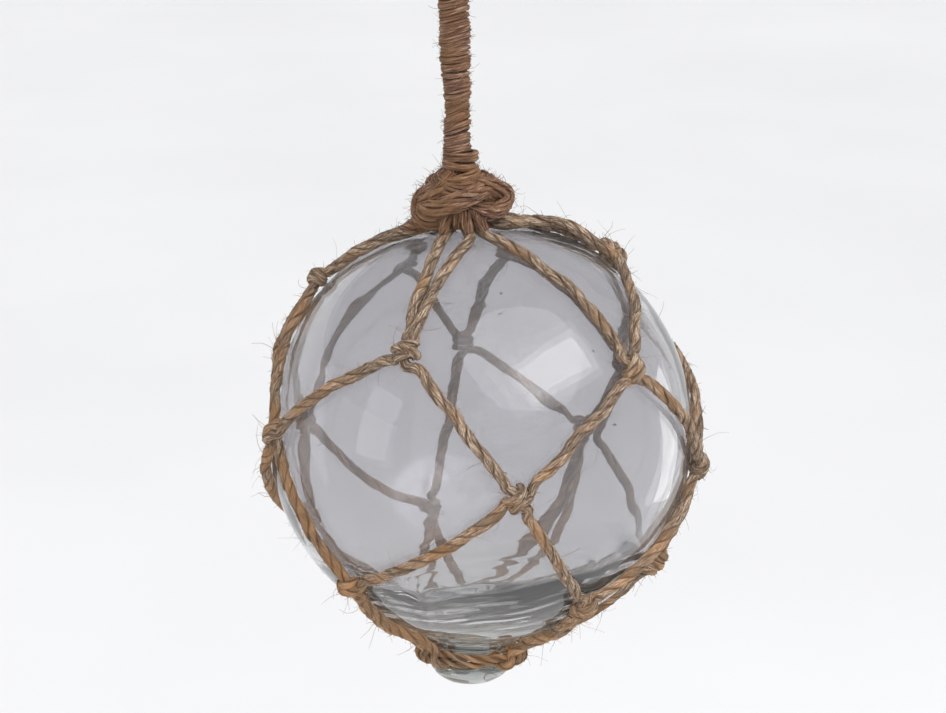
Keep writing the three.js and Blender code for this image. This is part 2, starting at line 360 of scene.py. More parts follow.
def studio_floor():
    """Matt pale paper roll."""
    material, add = new_material("pale_paper")
    place = add("TexCoord")
    grain = add("TexNoise", {"Scale": 3.0, "Detail": 2.0}, {"Vector": (place, "Object")})
    shade = add(
        "ValToRGB",
        links={"Fac": (grain, "Fac")},
        stops=[(0.3, linear("#EFEFEF")), (0.7, linear("#F3F3F3"))],
    )
    shader = add(
        "BsdfPrincipled",
        {"Roughness": 0.9, "Specular IOR Level": 0.1},
        {"Base Color": (shade, "Color")},
    )
    add("OutputMaterial", links={"Surface": (shader, "BSDF")})
    return material


STAGE_R = 5.0  # metres, where the paper turns up
STAGE_RISE = 3.0
STAGE_STEPS = 96  # round the middle


def placed(name, mesh):
    """A new object of a mesh, in the scene."""
    obj = bpy.data.objects.new(name, mesh)
    bpy.context.scene.collection.objects.link(obj)
    return obj


def active_only(obj):
    bpy.ops.object.select_all(action="DESELECT")
    obj.select_set(True)
    bpy.context.view_layer.objects.active = obj


def skin(name, outline, steps):
    """Turns an outline of (radius, height) points, in metres, once round Z into a skin."""
    mesh = bpy.data.meshes.new(name)
    points = [(r, 0, h) for r, h in outline]
    mesh.from_pydata(points, [(i, i + 1) for i in range(len(points) - 1)], [])
    obj = placed(name, mesh)
    active_only(obj)
    screw = obj.modifiers.new("turn", "SCREW")
    screw.axis = "Z"
    screw.steps = steps
    screw.render_steps = steps
    screw.use_merge_vertices = True
    screw.merge_threshold = 1e-6
    bpy.ops.object.modifier_apply(modifier=screw.name)
    bpy.ops.object.mode_set(mode="EDIT")
    bpy.ops.mesh.select_all(action="SELECT")
    bpy.ops.mesh.remove_doubles(threshold=1e-6)
    bpy.ops.mesh.normals_make_consistent(inside=False)
    bpy.ops.object.mode_set(mode="OBJECT")
    return obj


floor = skin(
    "studio_floor",
    [(STAGE_R * share, -FLOOR_DROP) for share in (0, 0.25, 0.5, 0.75)]
    + [
        (STAGE_R + STAGE_RISE * sin(a), -FLOOR_DROP + STAGE_RISE * (1 - cos(a)))
        for a in np.linspace(0, pi / 2, 16)
    ],
    STAGE_STEPS,
)
floor.data.materials.append(studio_floor())
for face in floor.data.polygons:
    face.use_smooth = True

# ------- lines and strands


def frame_about(axis):
    """Two directions square to an axis: the one nearest +X, then the one nearest +Y."""
    east = unit(np.array([1, 0, 0]) - axis * axis[0])
    north = np.array([0, 1, 0]) - axis * axis[1]
    north = unit(north - east * (north @ east))
    return east, north


def spoke(axis, azimuth):
    """The direction square to an axis at an azimuth, in degrees, from the one nearest +X."""
    east, north = frame_about(axis)
    a = radians(azimuth)
    return east * cos(a) + north * sin(a)


def direction_about(axis, azimuth, angle):
    """A direction at an angle from an axis, on the side of an azimuth round it, in degrees."""
    a = radians(angle)
    return axis * cos(a) + spoke(axis, azimuth) * sin(a)


def direction(azimuth, polar):
    """A direction at an azimuth and an angle from straight up, in degrees."""
    return direction_about(np.array([0.0, 0.0, 1.0]), azimuth, polar)


def angle_between(a, b):
    return acos(max(-1.0, min(1.0, float(a @ b))))


def along_surface(at, goal):
    """The direction in which the surface runs from one direction on the ball to another."""
    return unit(goal - at * (goal @ at))


def evenly(points, step):
    """The same line as points a step apart."""
    points = np.asarray(points, float)
    lengths = distances(points)
    places = np.linspace(0, lengths[-1], max(2, round(lengths[-1] / step) + 1))
    return np.stack([np.interp(places, lengths, points[:, k]) for k in range(points.shape[1])], 1)


def smooth_line(points, step):
    """A smooth line through points, as points a step apart."""
    p = np.asarray(points, float)
    p = np.vstack([2 * p[0] - p[1], p, 2 * p[-1] - p[-2]])
    runs = []
    for i in range(1, len(p) - 2):
        four = p[i - 1 : i + 3]
        gaps = np.maximum(np.linalg.norm(np.diff(four, axis=0), axis=1), 1e-6) ** 0.5
        t = np.r_[0, np.cumsum(gaps)]
        u = np.linspace(t[1], t[2], 10, endpoint=False)[:, None]
        a = [
            (t[k + 1] - u) / gaps[k] * four[k] + (u - t[k]) / gaps[k] * four[k + 1]
            for k in range(3)
        ]
        b = [
            (t[k + 2] - u) / (t[k + 2] - t[k]) * a[k] + (u - t[k]) / (t[k + 2] - t[k]) * a[k + 1]
            for k in range(2)
        ]
        runs.append((t[2] - u) / gaps[1] * b[0] + (u - t[1]) / gaps[1] * b[1])
    runs.append(p[-2:-1])
    return evenly(np.vstack(runs), step)


def tangents(line, closed=False):
    """The direction in which a line runs at each of its points."""
    if closed:
        ahead = np.roll(line, -1, axis=0) - np.roll(line, 1, axis=0)
    else:
        ahead = np.gradient(line, axis=0)
    return ahead / np.maximum(np.linalg.norm(ahead, axis=1, keepdims=True), 1e-9)


def squared(out, ahead):
    """Directions made square to the line that they belong to."""
    out = out - ahead * np.sum(out * ahead, axis=1, keepdims=True)
    return out / np.maximum(np.linalg.norm(out, axis=1, keepdims=True), 1e-6)


def carried_frame(line):
    """Directions square to a line that turn no more than they must along it."""
    ahead = tangents(line)
    side = np.empty_like(line)
    first = np.array([0.31, 0.77, 0.56])  # askew to every line here
    for i, t in enumerate(ahead):
        first = unit(first - t * (first @ t))
        side[i] = first
    return side, np.cross(ahead, side)


def distances(line):
    """How far along a line each of its points is."""
    return np.r_[0, np.cumsum(np.linalg.norm(np.diff(line, axis=0), axis=1))]


def wander(places, wavelength, seed):
    """A smooth random value, about -1 to 1, at each place along a line."""
    return np.array([noise.noise((x / wavelength, seed * 7.31, 0.5)) for x in places]) * 1.6


class Strands:
    """Tubes gathered into one mesh. Each point keeps how it lies in its strand: lay, the distance
    along it and its place across it, groove, how far it faces the other plies, which sets the painted
    shade there, and tone."""

    def __init__(self):
        self.points, self.faces, self.lay, self.groove_shade, self.tone = [], [], [], [], []
        self.count = 0

    def tube(self, line, out, across, half_out, half_across, sides, tone, turn=0.35, groove_shade=None):
        """A closed tube round a line. out and across are its section's axes at each point."""
        steps = len(line)
        angle = np.arange(sides) * 2 * pi / sides
        half_out = np.broadcast_to(half_out, steps)[:, None]
        half_across = np.broadcast_to(half_across, steps)[:, None]
        x, y = half_out * np.cos(angle), half_across * np.sin(angle)
        rings = line[:, None] + x[..., None] * out[:, None] + y[..., None] * across[:, None]
        along = distances(line)
        spun = angle[None] + turn * along[:, None]
        start = tone * 977.0  # each strand reads its own stretch of the pattern
        far_along = np.broadcast_to(along[:, None] + start, x.shape)
        lay = np.stack([far_along, half_across * np.cos(spun), half_across * np.sin(spun)], -1)
        # Painted shade: unless told otherwise, the inner side of each tube, which faces the other
        # plies, is marked to be darkened.
        hidden = np.broadcast_to((1 - np.cos(angle)) / 2 if groove_shade is None else groove_shade, x.shape)
        i = np.arange(steps - 1)[:, None] * sides + self.count
        k = np.arange(sides)
        near, far = i + k, i + (k + 1) % sides
        quads = np.stack([near, far, far + sides, near + sides], -1).reshape(-1, 4)
        self.faces += quads.tolist()
        self.faces.append([self.count + n for n in reversed(range(sides))])
        self.faces.append([self.count + (steps - 1) * sides + n for n in range(sides)])
        self.points.append(rings.reshape(-1, 3))
        self.lay.append(lay.reshape(-1, 3))
        self.groove_shade.append(hidden.reshape(-1))
        self.tone.append(np.full(steps * sides, tone))
        self.count += steps * sides

    def loop(self, line, out, across, half, sides, tone):
        """A tube round a closed line, whose last point joins its first."""
        begun = self.count
        self.tube(line, out, across, half, half, sides, tone, turn=0.0)
        del self.faces[-2:]
        last = self.count - sides
        for n in range(sides):
            m = (n + 1) % sides
            self.faces.append([last + n, last + m, begun + m, begun + n])

    def piece(self, name, material, replaced=(), offset=(0, 0, 0)):
        """Makes the gathered tubes a piece of the object."""
        points = (np.vstack(self.points) + np.asarray(offset)) * MM
        mesh = bpy.data.meshes.new(name)
        mesh.from_pydata(points.tolist(), [], self.faces)
        mesh.update()
        for label, kind, data in (
            ("lay", "FLOAT_VECTOR", np.vstack(self.lay) * MM),
            ("groove_shade", "FLOAT", np.concatenate(self.groove_shade)),
            ("tone", "FLOAT", np.concatenate(self.tone)),
        ):
            layer = mesh.attributes.new(label, kind, "POINT")
            field = "vector" if kind == "FLOAT_VECTOR" else "value"
            layer.data.foreach_set(field, data.astype(np.float32).ravel())
        mesh.polygons.foreach_set("use_smooth", [True] * len(mesh.polygons))
        mesh.materials.append(material)
        obj = placed(name, mesh)
        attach(obj, "root")
        if replaced:
            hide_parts(*replaced)
        return obj


def lay_rope(strands, line, radius, plies, pitch, rng, sides, slack, scale=None):
    """Lays a rope of twisted plies along a line. radius is the rope's own; scale thins it by place;
    slack lets the plies stray from an even twist."""
    side, up = carried_frame(line)
    along = distances(line)
    # Plies press against each other, so each is flattened on its inner side.
    half_out = radius * (0.24 + 0.55 / plies)
    offset = radius - half_out
    half_across = pi * offset / plies * 1.3
    scale = np.ones(len(line)) if scale is None else scale
    start = rng.uniform(0, 2 * pi)
    seed = rng.uniform(0, 100)
    swing = slack * 1.6 * wander(along, 9.0, seed)
    for ply in range(plies):
        own = seed + 3.7 * (ply + 1)
        angle = start + 2 * pi * (along / pitch + ply / plies) + swing
        reach = offset * scale * (1 + (0.06 + slack * 0.5) * wander(along, 5.0, own))
        out = side * np.cos(angle)[:, None] + up * np.sin(angle)[:, None]
        path = line + out * reach[:, None]
        ahead = tangents(path)
        out = squared(out, ahead)
        across = np.cross(ahead, out)
        thick = scale * (1 + (0.07 + slack * 0.2) * wander(along, 2.6, own + 50))
        strands.tube(path, out, across, half_out * thick, half_across * thick, sides, rng.random())


BAND_YARNS = 12
BAND_PITCH = 46  # mm for the yarns of a band to go once round it


def lay_band(strands, line, out, across, half_out, half_across, rng, scale):
    """Lays a soft, flattened bundle of loose yarns along a line, round a middle painted dark as the
    shade between the yarns.
    """
    along = distances(line)
    seed = rng.uniform(0, 100)
    start = rng.uniform(0, 2 * pi)
    thick, wide = half_out * 0.62 * scale, half_across * 0.7 * scale
    # The middle is marked wholly as groove and given a low tone: painted shade seen between the yarns.
    strands.tube(line, out, across, thick, wide, 8, 0.2, groove_shade=1.0)
    yarn_r = half_out * 0.36
    spread = (half_across - yarn_r) / (half_out - yarn_r)
    for yarn in range(BAND_YARNS):
        own = seed + 2.9 * (yarn + 1)
        angle = start + 2 * pi * (along / BAND_PITCH + yarn / BAND_YARNS)
        angle = angle + 0.5 * wander(along, 11.0, own)
        reach = (half_out - yarn_r) * scale * (1 + 0.16 * wander(along, 6.0, own + 30))
        lean = np.stack([np.cos(angle), spread * np.sin(angle)], 1) * reach[:, None]
        path = line + out * lean[:, :1] + across * lean[:, 1:]
        ahead = tangents(path)
        face = out * np.cos(angle)[:, None] * spread + across * np.sin(angle)[:, None]
        face = squared(face, ahead)
        thick = yarn_r * scale * (1 + 0.2 * wander(along, 3.0, own + 60))
        wide = pi * (half_out + half_across) / 2 / BAND_YARNS * 1.1
        across_yarn = np.cross(ahead, face)
        strands.tube(path, face, across_yarn, thick, thick * wide / yarn_r, 6, rng.random())


# ------- the served hanger, a taut cord

rng = random.Random(41)

SERVING_TURN = 3.1  # mm, one turn of the serving to the next
SERVING_HALF = 1.75  # half the height of a turn
SERVING_THICK = 1.2  # half its thickness
SERVING_YARNS = 3  # side by side in each turn, now and then crossing
SERVING_STEPS = 34  # points to a turn
SERVING_SLANT = 1.55  # mm, how far a turn lies askew
CORE_R = 4.0  # the rope inside it
HITCH_RISE = 7.2  # mm above the collar's top: the serving's last hitch, low on the right
HITCH_PROUD = 2.9  # how far it stands out
HITCH_HALF = 2.9  # and half its height
NARROW_RISE = 20.0  # mm above the collar's top, where the rope is wrapped tightest
NARROW_HALF = 15.0
NARROW_BY = 0.75  # how much less its radius is there
NARROW_SHIFT = 0.75  # and how far its middle lies to the right


def tightness(rise):
    """How near the serving is to its tightest at heights above the collar's top, 0 to 1."""
    return np.exp(-(((np.asarray(rise) - NARROW_RISE) / NARROW_HALF) ** 4))


def serving_line():
    """The path of the serving twine, wound up round the rope from the collar to the throat, with
    the direction away from the rope at each point and how many turns it has made."""
    route = smooth_line(HANGER_ROUTE, 0.25)
    lengths = distances(route)
    total = lengths[-1]
    start, end = 2.6, total - 1.2
    turns = (end - start) / SERVING_TURN
    spin = np.linspace(0, turns, int(turns * SERVING_STEPS))
    # The turns bunch and gap a little, and some lie askew.
    rise = start + (end - start) * spin / turns + 0.6 * wander(spin, 1.7, 3.1) * np.minimum(spin, 1)
    # On the front each turn climbs to the right, less so at the ends.
    skew = SERVING_SLANT + (0.45 + 0.5 * tightness(rise)) * wander(spin, 4.0, 8.2)
    skew *= np.clip(np.minimum(rise - start, end - rise) / 13, 0.1, 1)
    angle = -2 * pi * spin - 1.9
    rise = np.clip(rise + skew * np.cos(angle + 0.35), 0.4, total - 0.6)
    radius = SERVED_R - SERVING_THICK + 0.32 * wander(spin, 0.9, 5.5) + 0.25 * wander(spin, 3.1, 1.4)
    low = np.exp(-(((rise - HITCH_RISE) / HITCH_HALF) ** 2))
    right = np.maximum(np.cos(angle - radians(-18)), 0) ** 1.4
    radius = radius + HITCH_PROUD * low * right - NARROW_BY * tightness(rise)
    base = np.stack([np.interp(rise, lengths, route[:, k]) for k in range(3)], 1)
    base[:, 0] += NARROW_SHIFT * tightness(rise)
    out = np.stack([np.cos(angle), np.sin(angle), np.zeros(len(spin))], 1)
    return base + out * radius[:, None], out, spin


hanger = Strands()
core_line = smooth_line(HANGER_ROUTE, 1.5)
core_tight = tightness(distances(core_line))
core_line[:, 0] += NARROW_SHIFT * core_tight
core_side, core_up = carried_frame(core_line)
core_r = CORE_R - NARROW_BY * core_tight
# The rope inside the serving, marked wholly as groove with a low tone: painted shade in the gaps
# between the turns.
hanger.tube(core_line, core_side, core_up, core_r, core_r, 14, 0.3, groove_shade=1.0)
serving_path, out, spin = serving_line()
across = np.cross(tangents(serving_path), out)
yarn_half = SERVING_HALF / SERVING_YARNS * 1.25
for yarn in range(SERVING_YARNS):
    place = (yarn - 1) * (SERVING_HALF - yarn_half) + 0.35 * wander(spin, 0.8, 20 + 3 * yarn)
    lift = 0.28 * wander(spin, 0.7, 40 + 5 * yarn) + 0.16 * (yarn == 1)
    line = serving_path + across * place[:, None] + out * lift[:, None]
    thick = SERVING_THICK * 0.92 * (1 + 0.14 * wander(spin, 0.4, 4.0 + yarn))
    wide = yarn_half * (1 + 0.25 * wander(spin, 0.5, 60 + yarn))
    hanger.tube(line, out, across, thick, wide, 7, 0.15 + 0.3 * yarn, turn=0.2)
hanger_piece = hanger.piece("served_hanger_rope", hanger_jute, ["hanger_rope"])

# The eye: three-ply rope up one side, over the crown and down the other.
throat = EYE_ROPE_R + GAP / 2
eye_side = [
    (throat, -EYE_DROP), (throat, -33), (5.4, -27), (8.6, -20), (9.7, -12.5), (8.2, -5), (4.6, 0.6),
]
eye_points = [(-x, 0, z) for x, z in eye_side] + [(0, 0, EYE_ROPE_R)]
eye_points += [(x, 0, z) for x, z in reversed(eye_side)]
eye_line = smooth_line(eye_points, 0.8)
eye = Strands()
lay_rope(eye, eye_line, EYE_ROPE_R, 3, 13, rng, sides=10, slack=0.15)
eye_piece = eye.piece("hanger_eye_rope", eye_jute, ["hanger_eye"])

# ------- the net

REST = 0.15  # mm between a leg's twine and the glass
SHOULDER_ANGLE = 22.0  # degrees from the seal's axis, where the ball runs into its shoulder
RING_HEIGHT = 81.0  # along the seal's axis, from the ball's centre
RING_RADIUS = 16.4
RING_WRAP = 3.2  # from the middle of the ring's section to a hitch's middle
RING_TURN = 250  # degrees that a hitch goes round the ring before it is tucked in
RING_AHEAD = 14  # degrees from the seal's axis, for which the bottom knots' legs head
RING_FOOT = 19  # and where they leave the glass for the ring
COLLAR_UNDER = 5.5  # degrees from the collar's axis, where the twines come out from under it
COLLAR_RIM = 11  # and where they come down to the ball
NET_STEP = 0.95  # between the points of a twine
KNOT_REACH = 5.5  # mm from a knot's middle to where its legs leave it
LEG_SKIP = KNOT_REACH + 1.5
LEG_SPACING = 7.0  # between the points that a leg's route has
HITCH_HEIGHT = 2.15  # how far a knot's hitch swings in and out of the knot's middle
TUCK_HEIGHT = 2.9  # and its last turn
TUCK_THIN = 0.84  # of the twine's radius, pulled tight


def rest_height(way):
    """How far from the ball's centre twine lies: on the ball, or up the seal's shoulder."""
    on_ball = BALL_R + REST + TWINE_R
    angle = degrees(angle_between(way, SEAL_AXIS))
    ring_angle = degrees(atan2(RING_RADIUS, RING_HEIGHT))
    climb = min(max((SHOULDER_ANGLE - angle) / (SHOULDER_ANGLE - ring_angle), 0), 1)
    return on_ball + (hypot(RING_RADIUS, RING_HEIGHT) - RING_WRAP - on_ball) * climb**1.2


rows = [[direction(*knot) for knot in row] for row in KNOT_ROWS]


def leg_points(start, end, seed, skip_end=LEG_SKIP):
    """Points of a leg over the glass, straying a little to the side as slack twine does."""
    length = angle_between(start, end) * BALL_R
    ahead = along_surface(start, end)
    side = unit(np.cross(start, end))
    count = max(2, round((length - LEG_SKIP - skip_end) / LEG_SPACING))
    points = []
    for i, a in enumerate(np.linspace(LEG_SKIP, length - skip_end, count + 1) / BALL_R):
        way = start * cos(a) + ahead * sin(a)
        stray = 0.9 * sin(pi * (i / count)) * noise.noise((i * 0.6, seed * 3.1, 1.7)) * 2
        way = unit(way * BALL_R + side * stray)
        points.append(way * rest_height(way))
    return points


class Knot:
    """A knot of the net: one twine runs straight through and the other is hitched round it."""

    def __init__(self, way, upper_left, upper_right, lower_left, lower_right, seed):
        dice = random.Random(seed)
        goals = (upper_left, upper_right, lower_left, lower_right)
        ends = [along_surface(way, goal) for goal in goals]
        self.way = way
        through = unit(ends[3] - ends[0])
        side = np.cross(way, through)
        if side @ ends[1] < 0:
            side = -side
        lean = radians(dice.uniform(-14, 14))
        self.through = through * cos(lean) + side * sin(lean)
        self.side = side * cos(lean) - through * sin(lean)
        self.enters = -1 if ends[1] @ self.through < 0 else 1
        self.turns = dice.choice([1.5, 1.5, 2.5])
        self.width = dice.uniform(2.75, 3.2)
        self.middle = dice.uniform(2.75, 3.05)
        self.pitch = dice.uniform(2.9, 3.2)
        self.bend = dice.uniform(0.5, 1.1) * dice.choice([-1, 1])
        self.slant = dice.uniform(2.5, 5.5) * dice.choice([-1, 1])

    def at(self, along, across, height):
        """A place by the knot, in mm along its through twine, across it and out from the glass."""
        base = self.way * (BALL_R + height)
        return base + self.through * along + self.side * across

    def straight(self):
        """The twine that runs through, humped at the knot's middle."""
        places = [(0, self.middle), (2.6, self.middle - 0.1), (5.2, 2.3)]
        places = [(-a, h) for a, h in places[:0:-1]] + places
        return [self.at(a, self.bend * sin(a * 0.6), h) for a, h in places]

    def hitch(self):
        """The twine that is hitched round it."""
        count = round(self.turns * 12)
        length = self.pitch * self.turns
        points = []
        for k in range(count + 1):
            share = k / count
            angle = 2 * pi * self.turns * share
            along = self.enters * length * (0.5 - share)
            height = max(self.middle + HITCH_HEIGHT * sin(angle), 1.45)
            points.append(self.at(along, self.width * cos(angle), height))
        return points

    def tuck(self):
        """A last turn that crosses over the knot aslant."""
        points = []
        for share in np.linspace(0, 1, 13):
            angle = radians(-25 + 230 * share)
            height = max(self.middle + TUCK_HEIGHT * sin(angle), 1.6)
            across = self.width * 1.12 * cos(angle)
            points.append(self.at(self.slant * (share - 0.5), across, height))
        return points


def upper(row, i, side):
    """The direction that a knot's upper left (0) or upper right (1) twine comes from."""
    if row == 0:
        return direction_about(COLLAR_AXIS, COLLAR_EXITS[i][side], COLLAR_RIM)
    above = (i + side) % KNOTS_IN_ROW
    slack = SLACK_LEGS.get((row - 1, above))
    if side == 1 and slack:
        return direction(*slack[-1])
    return rows[row - 1][above]


def lower(row, i, side):
    """The direction that a knot's lower left (0) or lower right (1) twine goes to."""
    if row == len(rows) - 1:
        return direction_about(SEAL_AXIS, RING_STOPS[i][side], RING_AHEAD)
    if side == 0 and (row, i) in SLACK_LEGS:
        return direction(*SLACK_LEGS[row, i][0])
    return rows[row + 1][(i + side - 1) % KNOTS_IN_ROW]


knots = {}
for row in range(len(rows)):
    for i in range(KNOTS_IN_ROW):
        came_aside = row == 0 and i == DRAWN_ASIDE["knot"]
        upper_right = direction(*DRAWN_ASIDE["via"][-1]) if came_aside else upper(row, i, 1)
        ends = (upper(row, i, 0), upper_right, lower(row, i, 0), lower(row, i, 1))
        knots[row, i] = Knot(rows[row][i], *ends, seed=100 + row * 10 + i)


def at_collar(azimuth, via):
    """Where a twine comes out from under the collar, and the last direction that it passes."""
    start = direction_about(COLLAR_AXIS, azimuth, COLLAR_UNDER)
    rim = direction_about(COLLAR_AXIS, azimuth, COLLAR_RIM)
    points = [start * (rest_height(start) + 1.2), rim * (rest_height(rim) + 0.5)]
    last = rim
    for k, (az, polar) in enumerate(via):
        way = direction(az, polar)
        lift = (2.4, 1.2, 0.0)[k]
        middle = unit(last + way)
        points.append(middle * (rest_height(middle) + lift))
        points.append(way * (rest_height(way) + lift))
        last = way
    return points, last


def at_ring(azimuth, dice):
    """The twine's end: up the shoulder, over the ring and hitched round it."""
    points = []
    way = direction_about(SEAL_AXIS, azimuth, RING_FOOT)
    points.append(way * (rest_height(way) + 0.3))
    spread = dice.choice([-1, 1]) * dice.uniform(9, 12)
    for turn in range(-35, RING_TURN, 36):
        a = radians(turn)
        out = RING_RADIUS + RING_WRAP * cos(a)
        height = RING_HEIGHT + RING_WRAP * 0.92 * sin(a)
        aside = azimuth + spread * max(turn, 0) / RING_TURN
        points.append(spoke(SEAL_AXIS, aside) * out + SEAL_AXIS * height)
    return points


def net_twine(i, side):
    """One twine of the net, collar to ring. Side 0 runs down to the right, 1 down to the left."""
    via = DRAWN_ASIDE["via"] if side == 1 and i == DRAWN_ASIDE["knot"] else []
    points, last = at_collar(COLLAR_EXITS[i][side], via)
    seed = i * 2 + side
    place = i
    for row in range(len(rows)):
        knot = knots[row, place]
        slack = SLACK_LEGS.get((row - 1, (place + 1) % KNOTS_IN_ROW), []) if side == 1 else []
        for bowed in slack:
            way = direction(*bowed)
            points += leg_points(last, way, seed + row * 17 + len(points), skip_end=0.0)
            last = way
        points += leg_points(last, knot.way, seed + row * 17)
        points += knot.straight() if side == 0 else knot.hitch()
        last = knot.way
        if row + 1 < len(rows) and side == 1:
            place = (place - 1) % KNOTS_IN_ROW
    stop = RING_STOPS[place][1 - side]
    goal = direction_about(SEAL_AXIS, stop, RING_FOOT)
    points += leg_points(last, goal, seed + 90, skip_end=4.0)
    points += at_ring(stop, random.Random(500 + seed))
    return smooth_line(points, NET_STEP)


knot_middles = [k.way * (BALL_R + 3) for k in knots.values()]


def thinned(line):
    """Twine pulled tight in a knot, or hitched to the ring, is thinner than in a leg."""
    nearest = np.min([np.linalg.norm(line - m, axis=1) for m in knot_middles], axis=0)
    low = np.clip((line @ SEAL_AXIS - 74) / 5, 0, 1)
    return (1 - 0.16 * np.exp(-((nearest / 5.5) ** 4))) * (1 - 0.22 * low)


net = Strands()
net_lines = []
for i in range(KNOTS_IN_ROW):
    for side in (0, 1):
        line = net_twine(i, side)
        net_lines.append(line)
        lay_rope(net, line, TWINE_R, NET_PLIES, 20, rng, sides=7, slack=0.42, scale=thinned(line))
for knot in knots.values():
    line = smooth_line(knot.tuck(), NET_STEP)
    lay_rope(net, line, TWINE_R * TUCK_THIN, NET_PLIES, 13, rng, sides=6, slack=0.5)
net.piece("knotted_jute_net", net_jute, ["net"], BALL_CENTRE)

# The ring: two twines drawn up round the seal's neck, which go once round each other.
RING_POINTS = 150
PLY_R = 0.85  # two plies to a twine
PLY_OUT = 0.72  # from its middle
ring = Strands()
turn = np.arange(RING_POINTS) * 2 * pi / RING_POINTS
east, north = frame_about(SEAL_AXIS)
radial = east * np.cos(turn)[:, None] + north * np.sin(turn)[:, None]
for twine in (0, 1):
    cross = turn + pi * twine + 0.4
    out_by = RING_RADIUS + 0.75 * np.cos(cross) + 0.2 * np.sin(3 * turn + twine)
    up_by = RING_HEIGHT + 1.35 * np.sin(cross)
    middle = radial * out_by[:, None] + SEAL_AXIS * up_by[:, None]
    for ply in (0, 1):
        twist = turn * 8 + pi * ply
        out = radial * np.cos(twist)[:, None] + SEAL_AXIS * np.sin(twist)[:, None]
        path = middle + out * PLY_OUT
        ahead = tangents(path, closed=True)
        out = squared(out, ahead)
        ring.loop(path, out, np.cross(ahead, out), PLY_R, 8, rng.random())
ring.piece("drawn_up_ring", net_jute, ["bottom_ring"], BALL_CENTRE)

# ------- the collar knot

# Strands of the knot, each a loose flattened bundle: half its width, half its thickness, and its
# route as (azimuth round the collar's axis, distance from it, height above the ball's centre).
COLLAR_STRANDS = [
    # The broad band: out of the left bight, across the front rising to the right, round behind.
    (3.4, 2.5, [(176, 12.4, 84.4), (200, 13.2, 84.4), (228, 13.0, 86.0), (256, 12.6, 88.2),
        (286, 12.3, 90.0), (316, 12.4, 91.2), (346, 12.0, 91.4), (16, 10.6, 90.0), (56, 10, 88.4)]),
    # The right bight: out from under the band, over and down to a tucked tip.
    (3.2, 2.5, [(296, 8.6, 92.6), (320, 12.2, 92.4), (338, 15.2, 90.6), (346, 16.8, 87.8),
        (342, 16.6, 85.0), (326, 14.6, 83.4), (305, 11.4, 83.8), (288, 9.5, 85.2)]),
    # Its inner turn.
    (2.6, 2.3, [(300, 9.6, 91.0), (322, 11.8, 89.8), (340, 12.8, 88.0), (344, 12.6, 86.0),
        (326, 11.6, 84.8), (306, 9.6, 85.2)]),
    # The left bight: round the outside and curled under the front.
    (3.0, 2.4, [(140, 10.8, 87.6), (163, 13.2, 87.2), (182, 14.3, 85.2), (197, 14.6, 82.6),
        (212, 13.6, 81.2), (225, 11.8, 81.4), (236, 9.4, 82.8)]),
    # Its inner turn.
    (2.3, 2.0, [(170, 11.2, 86.8), (190, 13.0, 86.2), (206, 13.6, 84.6), (218, 12.6, 83.2),
        (232, 10.4, 83.6)]),
    # The left shoulder: strands that slant down from the shank and round the left.
    (2.8, 2.1, [(212, 3.9, 97.0), (200, 6.6, 93.8), (190, 9.9, 90.6), (182, 12.9, 87.6),
        (170, 13.6, 85.2), (150, 12.4, 84)]),
    (2.8, 2.1, [(250, 4.4, 96.8), (236, 7.0, 93.8), (218, 9.8, 90.8), (203, 12.2, 88.0),
        (188, 13.2, 85.6), (170, 12.6, 83.8)]),
    # The wraps over the top of the front, which close the knot up to the shank.
    (2.7, 2.0, [(140, 7.0, 93.2), (190, 7.6, 93.0), (235, 8.4, 92.0), (275, 9.2, 91.8),
        (310, 9.0, 93.0), (345, 7.8, 93.8), (30, 7.0, 93.4), (80, 6.8, 93.0)]),
    (2.2, 1.8, [(60, 6.0, 95.8), (130, 5.8, 95.0), (200, 6.4, 94.8), (250, 6.9, 94.2), (300, 6.9, 95.0),
        (350, 6.2, 96.0), (40, 5.8, 96.6)]),
    # The net's legs, gathered up under the knot.
    (1.9, 1.7, [(250, 8.2, 86.6), (248, 10.6, 84.2), (245, 12.2, 81.0), (243, 14.2, 77.6)]),
    (2.0, 1.7, [(278, 8.4, 87.0), (279, 10.6, 84.6), (280, 12.2, 81.2), (281, 14.2, 77.6)]),
    (1.9, 1.6, [(296, 8.2, 86.6), (300, 10.4, 84.4), (303, 12.2, 81.0), (306, 14.2, 77.6)]),
    (1.8, 1.5, [(264, 8.2, 86.2), (263, 10.0, 83.6), (262, 10.6, 80.8), (262, 10.4, 78.6)]),
    # The wraps behind.
    (3.3, 2.5, [(340, 12.6, 87.6), (10, 13.0, 87.0), (50, 13.2, 85.8), (90, 13.2, 85.2),
        (130, 13.2, 85.6), (165, 13.0, 87.0)]),
    (3.1, 2.3, [(20, 11.2, 91.4), (60, 10.6, 90.6), (105, 10.4, 90.4), (150, 10.2, 91.2),
        (180, 9.2, 92.4)]),
    (3.0, 2.3, [(355, 13.4, 83.6), (30, 13.2, 82.6), (80, 13.0, 82.0), (125, 12.8, 82.4),
        (160, 12.6, 83.8)]),
]
# Short cut tails that stick out to the left, lying over the net's legs.
COLLAR_TAILS = [
    (1.6, [(236, 9.5, 81.2), (216, 12.6, 80.4), (200, 15.6, 79.6), (191, 18.2, 78.6),
        (186, 20.4, 77.6)]),
    (1.3, [(228, 10.5, 82.0), (208, 13.2, 81.2), (195, 15.6, 80.3), (188, 17.8, 79.4)]),
]


def about_collar(stops):
    """A line through stops round the collar's axis."""
    points = [spoke(COLLAR_AXIS, az) * out + COLLAR_AXIS * height for az, out, height in stops]
    return smooth_line(points, 0.9)


